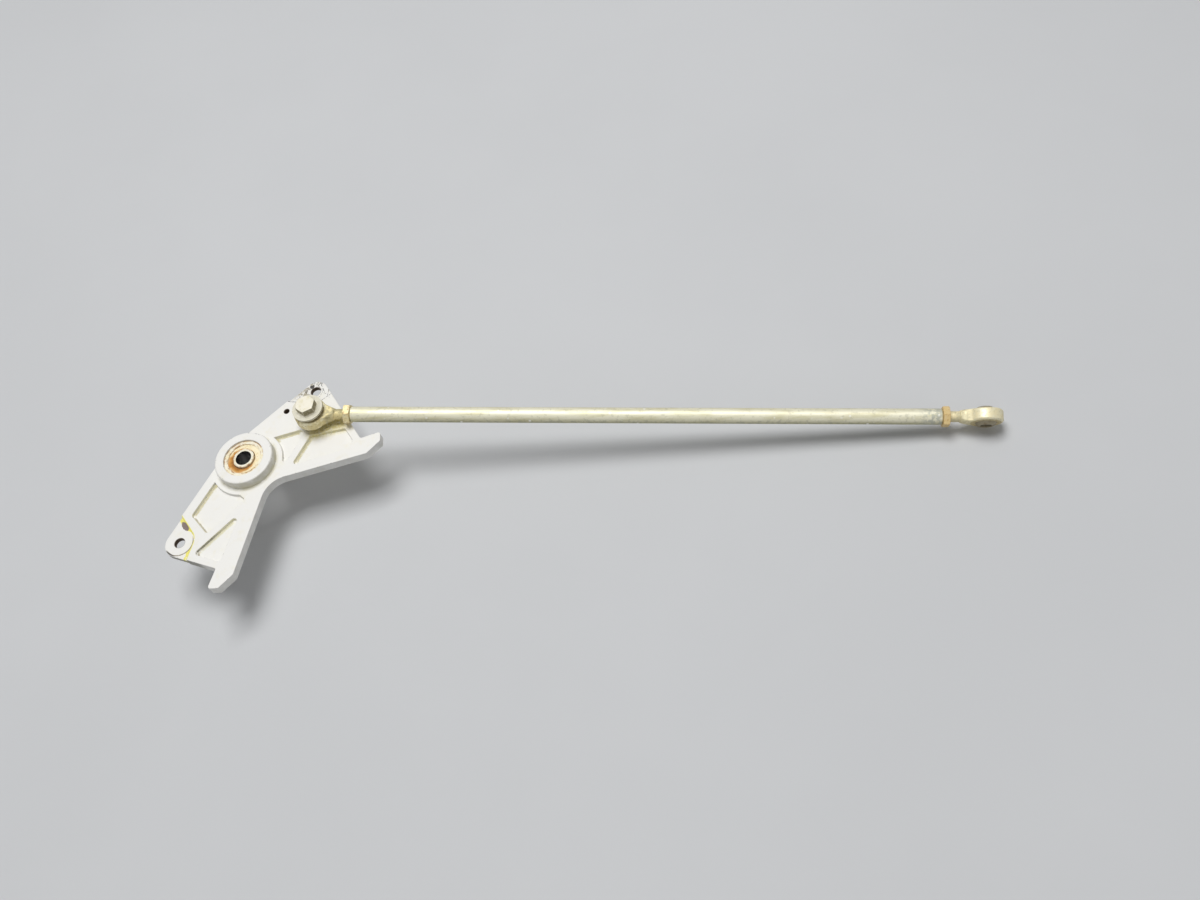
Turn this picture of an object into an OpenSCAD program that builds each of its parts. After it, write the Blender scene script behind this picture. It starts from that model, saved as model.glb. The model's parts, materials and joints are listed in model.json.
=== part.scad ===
// Aircraft bellcrank: a two-armed crank on a shielded ball bearing, with a push rod
// bolted to one arm. Millimetres. Z is the pivot axis and X runs along the push rod.
// The crank plate is drawn in its own axes, with x on the line that halves the gap
// between the arms, and is then turned about the pivot by crank_angle. Each arm is
// laid out in axes of its own, with x along its inner edge, from the point of the
// edge that is nearest to the pivot, and y across the arm.

/* [Crank plate] */
// Thickness of the arms
plate_t = 6.35; // [5.6:0.05:8]
// Turn of the crank from the push rod to the line between the arms, in degrees
crank_angle = -41; // [-44:0.5:-38]
// Half the angle between the inner edges of the arms
half_spread = 58.3; // [56:0.1:60]
// Distance from the pivot to each inner edge
inner_offset = 18.1; // [17.6:0.1:19]
// Radius of the fillet where the inner edges meet
inner_fillet_r = 16; // [10:0.5:20]

/* [Cable tips] */
// Distance from the pivot to each cable hole
cable_arm = 62.2; // [61:0.1:64]
// Direction of the upper cable hole from the pivot, from the inner edge, in degrees
upper_cable_angle = 39.1; // [37:0.1:41]
// Direction of the lower cable hole from the pivot, from the inner edge, in degrees
lower_cable_angle = 21.9; // [20.5:0.1:24]
// Diameter of the cable holes
cable_hole_d = 6.35; // [5:0.05:7.5]
// Radius of the rounded upper tip
upper_tip_r = 7.5; // [7:0.1:8.5]
// Radius of the rounded lower tip
lower_tip_r = 9.2; // [8.5:0.1:10]
// Thickness of the tips between their spot faces
tip_t = 3.3; // [2.5:0.05:4]
// Radius of the spot faces round the cable holes
spot_r = 9.4; // [8.8:0.1:10]
// Angle between the straight sides of the spot faces, in degrees
spot_spread = 131; // [120:1:140]
// Direction in which the upper spot faces open, from the inner edge, in degrees
upper_spot_angle = 89.5; // [85:0.5:95]
// Direction in which the lower spot faces open, from the inner edge, in degrees
lower_spot_angle = 65; // [60:0.5:70]

/* [Stop fingers] */
// Distance along the inner edges to the heels of the fingers
heel_reach = 72.9; // [71:0.1:75]
// Distance that the inner edges run out of parallel as far as the heels
heel_drop = 1.4; // [0.5:0.1:2]
// Corner radius of the heels
heel_r = 2; // [1:0.1:3]
// Turn of the fingers from the inner edges, in degrees
finger_turn = 31.7; // [29:0.1:34]
// Length of the fingers beyond their heels
finger_l = 14.4; // [13:0.1:16]
// Width of the flat at the finger tips
finger_tip_w = 5.3; // [4:0.1:6]
// Corner radius of the finger tips
finger_r = 1.5; // [0.8:0.1:1.8]
// Width of the fingers at the notch
finger_root_w = 10.6; // [9:0.1:11.5]
// Place of the notch along the fingers, from their heels
notch_l = 5.9; // [5:0.1:7]
// Radius in the notch
notch_r = 1.5; // [0.8:0.1:2]

/* [Pockets] */
// Depth of the pockets in each face
pocket_depth = 2.2; // [0.8:0.1:2.5]
// Corner radius of the pockets
pocket_r = 1.8; // [1:0.1:2.2]
// Width of the rim along the inner edge of the upper arm
upper_rim_w = 6.4; // [5:0.1:7.5]
// Width of the rim along the inner edge of the lower arm
lower_rim_w = 9.8; // [8:0.1:11]
// Width of the rim along the ends of the arms
end_rim_w = 4.6; // [4:0.1:6]
// Width of the rail along the outer edge of the lower arm
rail_w = 6; // [5:0.1:7]
// Width of the diagonal rib in each arm
rib_w = 4.6; // [3.5:0.1:5.5]
// Place of the upper rib along the inner rim
upper_rib_foot = 26.6; // [25:0.1:28]
// Direction of the upper rib's head from the rod bolt, in degrees
rib_head_angle = -119; // [-123:0.5:-114]
// Place of the lower rib along the inner rim
lower_rib_foot = 33.5; // [31.5:0.1:35]
// Length of the lower rib beside the inner pocket
lower_rib_l = 30; // [28:0.1:32]
// Distance from the upper heel back to the outer pocket
heel_margin = 9.3; // [8:0.1:11]
// Distance from the inner edge to the first corner of the upper outer pocket at the end rim
toe_w = 11.1; // [10:0.1:12]
// Distance from the inner edge to the second corner of the upper outer pocket there
upper_toe_w = 21.5; // [20:0.1:23]
// Start of the lower inner pocket at the rail, along the inner edge
rail_start = 12.5; // [11:0.1:14]
// End of the lower inner pocket at the rail, along the inner edge
rail_end = 39.6; // [38:0.1:41]
// Direction of the upper inner pocket's corner from the pivot, in degrees
web_angle = 46.5; // [44:0.1:48]
// Direction of the upper inner pocket's corner from the rod bolt, in degrees
web_head_angle = -165; // [-168:0.5:-161]
// Radius of the pad round the rod bolt
rod_pad_r = 10.4; // [10:0.1:11]

/* [Pin hole] */
// Diameter of the rigging pin hole
pin_hole_d = 3.4; // [2:0.1:4.5]
// Distance from the pivot to the rigging pin hole
pin_arm = 41.1; // [39:0.1:42]
// Direction of the rigging pin hole from the pivot, from the inner edge, in degrees
pin_angle = 46.2; // [44:0.1:48]

/* [Hub and bearing] */
// Outside diameter of the hub
hub_d = 36.7; // [35:0.1:38]
// Height of the hub above the plate
hub_rise = 6.5; // [6:0.1:8]
// Height of the hub below the plate
hub_drop = 0.8; // [0.4:0.1:2]
// Chamfer on the rims of the hub
hub_chamfer = 0.7; // [0.3:0.1:1.5]
// Distance that the hub stands out past the outer edges of the arms
hub_skirt = 0.25; // [0.1:0.05:0.6]
// Radius of the pad round the hub
hub_pad_r = 22.4; // [21.5:0.1:24]
// Outside diameter of the bearing
bearing_od = 25.4; // [24.4:0.1:26]
// Width of the bearing's outer ring
bearing_w = 11.1; // [9.5:0.1:11.6]
// Bore of the bearing
bearing_bore = 9.525; // [8:0.025:10]
// Outside diameter of the inner ring
inner_ring_od = 13.2; // [12.9:0.1:13.6]
// Width of the inner ring
inner_ring_w = 12.7; // [11.6:0.1:13]
// Inside diameter of the outer ring
outer_ring_id = 20.6; // [20.2:0.1:20.9]
// Diameter of the bearing balls
ball_d = 4.76; // [4.4:0.02:5]
// Number of bearing balls
ball_count = 9; // [6:1:9]
// Width of the shoulder that carries the bearing
shoulder_w = 2.2; // [1.5:0.1:2.3]
// Height of the shoulder that carries the bearing
shoulder_h = 1.2; // [0.8:0.1:1.4]
// Thickness of the bearing shields
shield_t = 0.5; // [0.3:0.05:0.8]
// Depth of each shield below the face of the outer ring
shield_inset = 0.6; // [0.3:0.05:1]
// Depth of the grooves that hold the shields
shield_bite = 0.5; // [0.3:0.05:0.8]
// Height of the ball cage
cage_h = 6; // [5.6:0.1:7]
// Wall of the ball cage
cage_w = 0.9; // [0.6:0.1:1.2]

/* [Rod bolt] */
// Diameter of the bolt
bolt_d = 6.35; // [5.6:0.05:6.8]
// Distance from the pivot to the bolt
rod_arm = 48.5; // [48:0.1:49.5]
// Direction of the bolt from the pivot, from the inner edge, in degrees
rod_arm_angle = 18.2; // [17.5:0.1:19]
// Width of the bolt head and nuts across flats
hex_af = 11.11; // [10.5:0.01:11.2]
// Chamfer on the corners of the bolt head and nuts
hex_chamfer = 0.5; // [0.2:0.1:0.8]
// Height of the bolt head
head_h = 4.5; // [3.5:0.1:6]
// Turn of the bolt head, in degrees
head_turn = 8; // [0:1:60]
// Diameter of the large washer under the head
cover_d = 19.05; // [16:0.05:19.5]
// Diameter of the small washers
washer_d = 12.7; // [12:0.1:14]
// Thickness of the washers
washer_t = 1.6; // [1:0.1:2]
// Height of the spacer between the rod end and the plate
spacer_h = 2.5; // [2.3:0.1:4]
// Height of the castle nut
castle_h = 7.1; // [6:0.1:9]
// Depth of the slots in the castle nut
slot_depth = 2.8; // [2.4:0.1:3.2]
// Width of the slots in the castle nut
slot_w = 2.2; // [2:0.1:2.6]
// Diameter of the cotter pin
cotter_d = 1.6; // [1.2:0.1:1.8]
// Radius of the loop at the cotter pin's head
cotter_eye_r = 1.1; // [0.9:0.1:1.4]
// Spread of the cotter pin's legs, in degrees
leg_spread = 60; // [30:1:75]
// Length of the bolt beyond the castle nut
bolt_tail = 1; // [0.6:0.1:4]

/* [Rod ends] */
// Outside diameter of the eyes
eye_d = 20.3; // [20:0.1:21]
// Width of the eyes
eye_w = 7.4; // [7:0.1:7.5]
// Chamfer on the rims of the eyes
eye_chamfer = 0.9; // [0.3:0.1:1.2]
// Outside diameter of the races
race_d = 16.6; // [16.2:0.1:17]
// Diameter of the swivel balls
swivel_d = 14.3; // [14:0.05:14.6]
// Width of the swivel balls
swivel_w = 11.1; // [11.1:0.05:11.6]
// Diameter of the threaded shanks
shank_d = 6.35; // [5.6:0.05:6.6]
// Width of the neck where it meets the shank
neck_end_w = 6.9; // [6.8:0.1:7.4]
// Radius of the circle inside the eye from which the neck runs out
neck_root_r = 8.8; // [8.6:0.1:9]
// Radius of the hollow between the eye and its neck
neck_fillet_r = 6; // [4:0.1:7]
// Straight length at the end of the neck
neck_land = 1; // [0.6:0.1:2]
// Corner radius at the end of the neck
neck_edge_r = 0.4; // [0.2:0.1:0.8]
// Distance from an eye's centre to the end of its neck
neck_reach = 15; // [13:0.1:16]
// Thickness of the jam nuts
jam_h = 3.97; // [3:0.01:5]

/* [Push rod] */
// Distance between the centres of the two eyes
rod_length = 405; // [300:1:600]
// Dip of the push rod below the plane of the crank, in degrees
rod_dip = 5.5; // [3:0.1:5.5]
// Distance from the near eye's centre to the tube
near_reach = 25; // [23:0.1:25.4]
// Distance from the far eye's centre to the tube
far_reach = 25; // [22:0.1:30]
// Turn of the far eye about the rod, in degrees
far_roll = -71; // [-90:1:0]
// Outside diameter of the tube
tube_d = 9.525; // [9:0.025:10]
// Length of shank screwed into each end of the tube
thread_l = 18; // [12:1:24]
// Depth of the chamfer at the ends of the tube
tube_chamfer = 0.5; // [0.2:0.1:0.8]

/* [Fits] */
// Radial clearance of turning fits
running_gap = 0.06; // [0.03:0.01:0.1]
// Clearance between faces that slide on each other
face_gap = 0.05; // [0.02:0.01:0.1]
// Radial clearance of bolts and screwed pieces in their holes
bolt_gap = 0.05; // [0.03:0.01:0.1]
// Clearance between the bearing shields and the inner ring
shield_gap = 0.3; // [0.2:0.05:0.5]
// Radial clearance of the balls in the cage
cage_gap = 0.12; // [0.08:0.01:0.2]

/* [Hidden] */

$fn = 64;
// Largest distance between a rounded corner and its chords
arc_error = 0.01;
// Overrun of cuts past the faces that they open
over = 1;

// Heights on the pivot axis
plate_top = plate_t / 2;
plate_bottom = -plate_t / 2;
hub_top = plate_top + hub_rise;
hub_bottom = plate_bottom - hub_drop;
bearing_z = hub_bottom + shoulder_h + bearing_w / 2;
shield_z = bearing_w / 2 - shield_inset - shield_t / 2;

// Heights on the bolt axis
swivel_z = plate_top + spacer_h + face_gap + swivel_w / 2;
cover_z = swivel_z + swivel_w / 2 + face_gap;
head_z = cover_z + washer_t;
nut_z = plate_bottom - washer_t;
castle_z = nut_z - castle_h;
cotter_z = castle_z + slot_depth / 2;
tail_z = castle_z - bolt_tail;

// Radii
hub_r = hub_d / 2;
edge_r = hub_r - hub_skirt;
pitch_r = (inner_ring_od + outer_ring_id) / 4;
groove_r = ball_d / 2 + running_gap;
hex_r = hex_af / 2 / cos(30);
bolt_hole_d = bolt_d + 2 * bolt_gap;
shank_hole_d = shank_d + 2 * bolt_gap;

// Places on the plate, in its own axes
function polar(r, a) = [r * cos(a), r * sin(a)];
upper_tip = polar(cable_arm, half_spread + upper_cable_angle);
lower_tip = polar(cable_arm, -half_spread - lower_cable_angle);
bolt_at = polar(rod_arm, half_spread + rod_arm_angle);
pin_at = polar(pin_arm, half_spread + pin_angle);

// Places on the arms, in the arms' axes
pivot = [0, inner_offset];
upper_tip_place = pivot + polar(cable_arm, upper_cable_angle);
lower_tip_place = pivot + polar(cable_arm, lower_cable_angle);
upper_tip_corner = concat(upper_tip_place, upper_tip_r);
lower_tip_corner = concat(lower_tip_place, lower_tip_r);
bolt_place = pivot + polar(rod_arm, rod_arm_angle);

// Closed line round a list of corner circles [x, y, r], taken counterclockwise.
// A corner with a negative radius is hollow.
function heading(a, b) =
    let (d = [b[0] - a[0], b[1] - a[1]])
    atan2(d[1], d[0]) - asin((b[2] - a[2]) / norm(d));
function turn(from, to) = to - from - 360 * round((to - from) / 360);
function corner(c, from, to) =
    let (sweep = turn(from, to),
         step = 2 * acos(1 - arc_error / abs(c[2])),
         steps = ceil(abs(sweep) / step))
    [for (k = [0:steps])
        let (a = from + sweep * k / steps)
        [c[0] + c[2] * sin(a), c[1] - c[2] * cos(a)]];
function belt(circles) =
    let (n = len(circles), way = [for (i = [0:n - 1]) heading(circles[i], circles[(i + 1) % n])])
    [for (i = [0:n - 1]) each corner(circles[i], way[(i + n - 1) % n], way[i])];

// Corner circles moved from the arms' axes to the plate's, kept counterclockwise
function upper_arm(circles) =
    [for (c = circles)
        let (p = polar(c[0], half_spread) + polar(c[1] - inner_offset, half_spread + 90))
        [p[0], p[1], c[2]]];
function lower_arm(circles) =
    let (c = upper_arm(circles))
    [for (i = [len(c) - 1:-1:0]) [c[i][0], -c[i][1], c[i][2]]];

// Corner circles that round the corners of a polygon of points taken counterclockwise
function unit(v) = v / norm(v);
function rounded(points, r) =
    let (n = len(points))
    [for (i = [0:n - 1])
        let (p = points[i],
             a = unit(points[(i + n - 1) % n] - p),
             b = unit(points[(i + 1) % n] - p),
             half = acos(a * b) / 2,
             c = p + unit(a + b) * r / sin(half))
        [c[0], c[1], r]];

// Lines across an arm, each a point and a direction
function point_at_x(line, x) = [x, line[0][1] + (x - line[0][0]) * tan(line[1])];
function point_at_y(line, y) = [line[0][0] + (y - line[0][1]) / tan(line[1]), y];
function crossing(a, b) =
    let (way = polar(1, a[1]))
    a[0] + way * cross(b[0] - a[0], polar(1, b[1])) / cross(way, polar(1, b[1]));

// Stop finger, in the arms' axes
heel_place = [heel_reach, heel_r - heel_drop];
finger_way = polar(1, finger_turn);
finger_side = polar(1, finger_turn + 90);
function finger_point(along, across) =
    heel_place + along * finger_way + (across - heel_r) * finger_side;
notch_place = finger_point(notch_l, finger_root_w + notch_r);
finger = [
    concat(heel_place, heel_r),
    concat(finger_point(finger_l - finger_tip_w / 2 - finger_r, finger_r), finger_r),
    concat(finger_point(finger_l - finger_r, finger_tip_w - finger_r / 2), finger_r),
    concat(notch_place, -notch_r)];

// Outline of the plate
outline = concat(
    [[(inner_offset + inner_fillet_r) / sin(half_spread), 0, -inner_fillet_r]],
    upper_arm(concat(finger, [upper_tip_corner])),
    [[0, 0, edge_r]],
    lower_arm(concat(finger, [lower_tip_corner])));

// Inner sides of the end rims and of the rail
function end_rim(tip) =
    let (way = heading(concat(notch_place, -notch_r), tip))
    [notch_place + polar(notch_r + end_rim_w, way + 90), way];
function rail(tip) =
    let (way = heading(tip, concat(pivot, edge_r)))
    [pivot + polar(edge_r - rail_w, way - 90), way];

// Pockets of the two arms
heel_corner = [heel_reach - heel_margin, upper_rim_w];
rib_foot = [upper_rib_foot, upper_rim_w];
rib_head = bolt_place + polar(rod_pad_r, rib_head_angle);
rib_way = unit(rib_head - rib_foot);
rib_side = rib_w * [-rib_way[1], rib_way[0]];
upper_end = end_rim(upper_tip_corner);
upper_inner_pocket = upper_arm(rounded(
    [pivot + polar(edge_r, web_angle), rib_foot + rib_side, rib_head + rib_side,
     bolt_place + polar(rod_pad_r, web_head_angle)], pocket_r));
upper_outer_pocket = upper_arm(rounded(
    [rib_foot, heel_corner, point_at_y(upper_end, toe_w), point_at_y(upper_end, upper_toe_w),
     rib_head], pocket_r));
lower_foot = [lower_rib_foot, lower_rim_w];
lower_side_foot = lower_foot - [rib_w / sin(finger_turn), 0];
lower_end = end_rim(lower_tip_corner);
lower_rail = rail(lower_tip_corner);
lower_inner_pocket = lower_arm(rounded(
    [point_at_x(lower_rail, rail_start), lower_side_foot,
     lower_side_foot + lower_rib_l * finger_way, point_at_x(lower_rail, rail_end)], pocket_r));
lower_outer_pocket = lower_arm(rounded(
    [lower_foot, point_at_y(lower_end, lower_rim_w), crossing(lower_end, [lower_foot, finger_turn])],
    pocket_r));

// Spot faces at the tips, open past the edges of the plate so that a cable fork can swing
spot_run = 2 * spot_r + over;
function spot(tip, way) =
    let (ends = [for (side = [-1, 1]) tip + polar(spot_run, way + side * spot_spread / 2)])
    [for (at = concat([tip], ends)) concat(at, spot_r)];
upper_spot = upper_arm(spot(upper_tip_place, upper_spot_angle));
lower_spot = lower_arm(spot(lower_tip_place, lower_spot_angle));

// Moves a piece onto the plate, in the plate's own axes
module on_plate(at) rotate([0, 0, crank_angle]) translate([at[0], at[1], 0]) children();
// Moves a piece to the near eye, with x along the push rod
module on_rod() rotate([0, 0, crank_angle]) translate([bolt_at[0], bolt_at[1], swivel_z])
    rotate([0, 0, -crank_angle]) rotate([0, rod_dip, 0]) children();
// Moves a piece to the far eye, with x back along the push rod
module on_far_eye() on_rod() translate([rod_length, 0, 0]) rotate([far_roll, 0, 0])
    rotate([0, 0, 180]) children();
// Turns a piece that was drawn on Z to lie along X
module along_x() rotate([0, 90, 0]) children();

// Disc with a hole, standing on z = 0
module ring(d, hole_d, h) difference() {
    cylinder(d = d, h = h);
    translate([0, 0, -over]) cylinder(d = hole_d, h = h + 2 * over);
}

// Round bar with chamfered rims, standing on z = 0
module chamfered(r, h, c) rotate_extrude()
    polygon([[0, 0], [r - c, 0], [r, c], [r, h - c], [r - c, h], [0, h]]);

// Hexagonal prism with turned corners, standing on z = 0
module hexagon(h) intersection() {
    cylinder(r = hex_r, h = h, $fn = 6);
    chamfered(hex_r, h, hex_chamfer);
}

// Prisms that cut both faces alike and leave a web of the thickness given
module both_faces(corners, web_t) for (side = [0, 1]) mirror([0, 0, side])
    translate([0, 0, web_t / 2]) linear_extrude(plate_t) polygon(belt(corners));

module pockets() difference() {
    for (corners = [upper_inner_pocket, upper_outer_pocket, lower_inner_pocket, lower_outer_pocket])
        both_faces(corners, plate_t - 2 * pocket_depth);
    translate([0, 0, -plate_t]) cylinder(r = hub_pad_r, h = 2 * plate_t);
}

module crank_plate() color("ivory") rotate([0, 0, crank_angle]) difference() {
    union() {
        translate([0, 0, plate_bottom]) linear_extrude(plate_t) polygon(belt(outline));
        translate([0, 0, hub_bottom]) chamfered(hub_r, hub_top - hub_bottom, hub_chamfer);
    }
    pockets();
    translate([0, 0, hub_bottom + shoulder_h]) cylinder(d = bearing_od, h = hub_top - hub_bottom);
    translate([0, 0, hub_bottom - over]) cylinder(d = bearing_od - 2 * shoulder_w, h = shoulder_h + 2 * over);
    both_faces(upper_spot, tip_t);
    both_faces(lower_spot, tip_t);
    for (tip = [upper_tip, lower_tip])
        translate([tip[0], tip[1], -plate_t]) cylinder(d = cable_hole_d, h = 2 * plate_t);
    translate([bolt_at[0], bolt_at[1], -plate_t]) cylinder(d = bolt_hole_d, h = 2 * plate_t);
    translate([pin_at[0], pin_at[1], -plate_t]) cylinder(d = pin_hole_d, h = 2 * plate_t);
}

// Ball groove round the pivot axis
module ball_groove() rotate_extrude() translate([pitch_r, 0]) circle(r = groove_r);

// Room for one bearing shield on the bearing's centre plane
module shield_disc() translate([0, 0, -shield_t / 2])
    ring(outer_ring_id + 2 * shield_bite, inner_ring_od + 2 * shield_gap, shield_t);

module bearing_outer_ring() color("goldenrod") translate([0, 0, bearing_z]) difference() {
    translate([0, 0, -bearing_w / 2]) ring(bearing_od, outer_ring_id, bearing_w);
    ball_groove();
    for (side = [-1, 1]) translate([0, 0, side * shield_z]) shield_disc();
}

module bearing_inner_ring() color("lightgray") translate([0, 0, bearing_z]) difference() {
    translate([0, 0, -inner_ring_w / 2]) ring(inner_ring_od, bearing_bore, inner_ring_w);
    ball_groove();
}

// Passes its child to the place of each bearing ball
module at_balls() for (k = [0:ball_count - 1]) rotate([0, 0, k * 360 / ball_count])
    translate([pitch_r, 0, bearing_z]) children();

module bearing_balls() color("silver") at_balls() sphere(d = ball_d);

module bearing_cage() color("darkgoldenrod") difference() {
    translate([0, 0, bearing_z - cage_h / 2]) ring(2 * pitch_r + cage_w, 2 * pitch_r - cage_w, cage_h);
    at_balls() sphere(r = ball_d / 2 + cage_gap);
}

module bearing_shield_top() color("peru") translate([0, 0, bearing_z + shield_z]) shield_disc();

module bearing_shield_bottom() color("peru") translate([0, 0, bearing_z - shield_z]) shield_disc();

module rod_bolt() color("khaki") on_plate(bolt_at) difference() {
    union() {
        translate([0, 0, head_z]) rotate([0, 0, head_turn]) hexagon(head_h);
        translate([0, 0, tail_z]) chamfered(bolt_d / 2, head_z - tail_z + over, hex_chamfer);
    }
    translate([0, 0, cotter_z]) rotate([0, 0, 30]) along_x()
        cylinder(d = cotter_d + 2 * bolt_gap, h = 2 * bolt_d, center = true);
}

module cover_washer() color("khaki") on_plate(bolt_at) translate([0, 0, cover_z])
    ring(cover_d, bolt_hole_d, washer_t);

module spacer() color("khaki") on_plate(bolt_at) translate([0, 0, plate_top])
    ring(washer_d, bolt_hole_d, spacer_h);

module nut_washer() color("khaki") on_plate(bolt_at) translate([0, 0, nut_z])
    ring(washer_d, bolt_hole_d, washer_t);

module castle_nut() color("goldenrod") on_plate(bolt_at) translate([0, 0, castle_z]) difference() {
    hexagon(castle_h);
    translate([0, 0, -over]) cylinder(d = bolt_hole_d, h = castle_h + 2 * over);
    for (k = [0:2]) rotate([0, 0, 30 + 60 * k])
        translate([-hex_r - over, -slot_w / 2, -over]) cube([2 * (hex_r + over), slot_w, slot_depth + over]);
}

// Cotter pin with its eye on one side of the nut and its legs spread on the other
module cotter_pin() color("silver") on_plate(bolt_at) translate([0, 0, cotter_z]) rotate([0, 0, 30]) {
    reach = (hex_af + cotter_d) / 2;
    leg_d = cotter_d / 2;
    along_x() cylinder(d = cotter_d, h = 2 * reach, center = true);
    translate([-reach - leg_d, 0, 0]) rotate([90, 0, 0])
        rotate_extrude() translate([cotter_eye_r, 0]) circle(d = leg_d);
    for (side = [-1, 1]) translate([reach - leg_d, 0, side * leg_d / 2])
        rotate([0, 90 - side * leg_spread, 0]) cylinder(d = leg_d, h = hex_af / 2);
}

// Outline of an eye and its neck
neck_side = neck_end_w / 2;
neck = [
    [0, 0, neck_root_r],
    [neck_reach - neck_land, -neck_side - neck_fillet_r, -neck_fillet_r],
    [neck_reach - neck_edge_r, neck_edge_r - neck_side, neck_edge_r],
    [neck_reach - neck_edge_r, neck_side - neck_edge_r, neck_edge_r],
    [neck_reach - neck_land, neck_side + neck_fillet_r, -neck_fillet_r]];

// Rod end along X, with its bore on Z and a shank that reaches into the tube
module rod_end(reach) difference() {
    union() {
        translate([0, 0, -eye_w / 2]) chamfered(eye_d / 2, eye_w, eye_chamfer);
        intersection() {
            translate([0, 0, -eye_w / 2]) linear_extrude(eye_w) polygon(belt(neck));
            along_x() cylinder(r1 = eye_d / 2, r2 = neck_side, h = neck_reach);
        }
        along_x() cylinder(d = shank_d, h = reach + thread_l);
    }
    translate([0, 0, -eye_w]) cylinder(d = race_d, h = 2 * eye_w);
}

module race() difference() {
    translate([0, 0, -eye_w / 2]) cylinder(d = race_d, h = eye_w);
    sphere(r = swivel_d / 2 + running_gap);
}

module swivel_ball() difference() {
    intersection() {
        sphere(d = swivel_d);
        cube([swivel_d, swivel_d, swivel_w], center = true);
    }
    cylinder(d = bolt_d + 2 * running_gap, h = swivel_d, center = true);
}

module jam_nut(reach) translate([reach - jam_h, 0, 0]) along_x() rotate([0, 0, 30]) difference() {
    hexagon(jam_h);
    translate([0, 0, -over]) cylinder(d = shank_hole_d, h = jam_h + 2 * over);
}

module near_rod_end() color("tan") on_rod() rod_end(near_reach);
module near_race() color("gray") on_rod() race();
module near_ball() color("silver") on_plate(bolt_at) translate([0, 0, swivel_z]) swivel_ball();
module near_jam_nut() color("gold") on_rod() jam_nut(near_reach);

module push_rod_tube() color("beige") on_rod() translate([near_reach, 0, 0]) along_x() difference() {
    chamfered(tube_d / 2, rod_length - near_reach - far_reach, tube_chamfer);
    translate([0, 0, -over]) cylinder(d = shank_hole_d, h = rod_length);
}

module far_jam_nut() color("gold") on_far_eye() jam_nut(far_reach);
module far_rod_end() color("tan") on_far_eye() rod_end(far_reach);
module far_race() color("gray") on_far_eye() race();
module far_ball() color("silver") on_far_eye() swivel_ball();

crank_plate();
bearing_outer_ring();
bearing_inner_ring();
bearing_balls();
bearing_cage();
bearing_shield_top();
bearing_shield_bottom();
rod_bolt();
cover_washer();
spacer();
nut_washer();
castle_nut();
cotter_pin();
near_rod_end();
near_race();
near_ball();
near_jam_nut();
push_rod_tube();
far_jam_nut();
far_rod_end();
far_race();
far_ball();
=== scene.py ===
import json
import math

import bmesh
import bpy
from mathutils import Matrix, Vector

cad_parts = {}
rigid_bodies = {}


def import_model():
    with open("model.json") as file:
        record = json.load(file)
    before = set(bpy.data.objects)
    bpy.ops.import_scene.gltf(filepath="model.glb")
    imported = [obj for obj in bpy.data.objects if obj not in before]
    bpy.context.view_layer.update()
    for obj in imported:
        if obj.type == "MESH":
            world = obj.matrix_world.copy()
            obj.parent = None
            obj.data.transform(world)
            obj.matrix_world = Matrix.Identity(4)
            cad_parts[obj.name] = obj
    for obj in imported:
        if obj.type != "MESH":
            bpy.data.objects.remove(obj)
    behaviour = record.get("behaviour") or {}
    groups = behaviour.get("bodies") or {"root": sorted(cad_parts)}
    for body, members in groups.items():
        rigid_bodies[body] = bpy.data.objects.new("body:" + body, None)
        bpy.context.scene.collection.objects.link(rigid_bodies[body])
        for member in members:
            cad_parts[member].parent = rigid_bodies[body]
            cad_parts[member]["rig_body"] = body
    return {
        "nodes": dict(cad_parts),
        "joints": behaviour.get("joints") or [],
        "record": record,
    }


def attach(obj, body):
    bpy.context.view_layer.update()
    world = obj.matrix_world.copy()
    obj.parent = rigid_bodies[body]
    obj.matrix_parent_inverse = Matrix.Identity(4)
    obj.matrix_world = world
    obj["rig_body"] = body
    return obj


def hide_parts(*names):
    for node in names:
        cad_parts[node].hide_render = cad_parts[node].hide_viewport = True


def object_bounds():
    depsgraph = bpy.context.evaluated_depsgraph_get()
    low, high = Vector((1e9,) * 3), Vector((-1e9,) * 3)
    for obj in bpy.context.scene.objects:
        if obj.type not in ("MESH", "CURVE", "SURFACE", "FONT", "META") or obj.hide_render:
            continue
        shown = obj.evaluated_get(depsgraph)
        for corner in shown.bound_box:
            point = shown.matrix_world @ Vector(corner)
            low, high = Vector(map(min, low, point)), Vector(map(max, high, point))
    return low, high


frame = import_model()
cad_low, cad_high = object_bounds()


# Crank plate
# The crank is one aluminium forging, machined with pockets in both faces and a raised hub
# for the bearing. It is primed yellow and painted white, and the paint is chipped at the
# cable holes and dirty where the rod end swings over it.

mm = 0.001
up = Vector((0, 0, 1))
mounts = {m["name"]: m for m in frame["record"]["mounts"]}


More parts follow.
